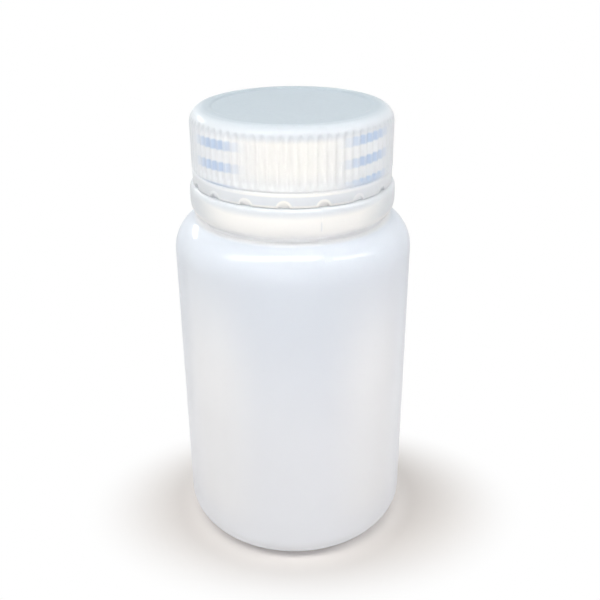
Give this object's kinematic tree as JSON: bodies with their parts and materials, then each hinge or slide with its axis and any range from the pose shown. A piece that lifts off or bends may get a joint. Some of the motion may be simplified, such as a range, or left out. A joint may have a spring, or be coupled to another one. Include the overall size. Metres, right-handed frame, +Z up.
{
  "type": "reagent bottle",
  "caption": "Wide-mouth round bottle of milky translucent plastic with a rounded shoulder, collar bead and ribbed screw cap over a sealing disc, for keeping reagents.",
  "frame": {"origin": "centre of the standing ring on the table", "axes": "+Z up along the bottle's axis; -Y is the side the picture shows"},
  "size_m": [0.051, 0.051, 0.0982],
  "materials": {
    "bottle_plastic": "translucent milky, smooth and glossy",
    "cap_plastic": "translucent milky, semi-gloss",
    "disc_foam": "white, matt"
  },
  "bodies": {
    "bottle": {"bottle": "bottle_plastic"},
    "seal": {"sealing_disc": "disc_foam"},
    "cap": {"screw_cap": "cap_plastic"}
  },
  "joints": [
    {"name": "cap_lift", "type": "slide", "parent": "bottle", "child": "seal", "axis": [0, 0, 1], "range_m": [0, 0.0161]},
    {"name": "cap_turn", "type": "hinge", "parent": "seal", "child": "cap", "pos_m": [0, 0, 0.0832], "axis": [0, 0, 1], "range_deg": [0, 1350]}
  ],
  "couplings": [
    {"joint": "cap_lift", "follows": "cap_turn", "m_per_rad": 0.00067323}
  ]
}
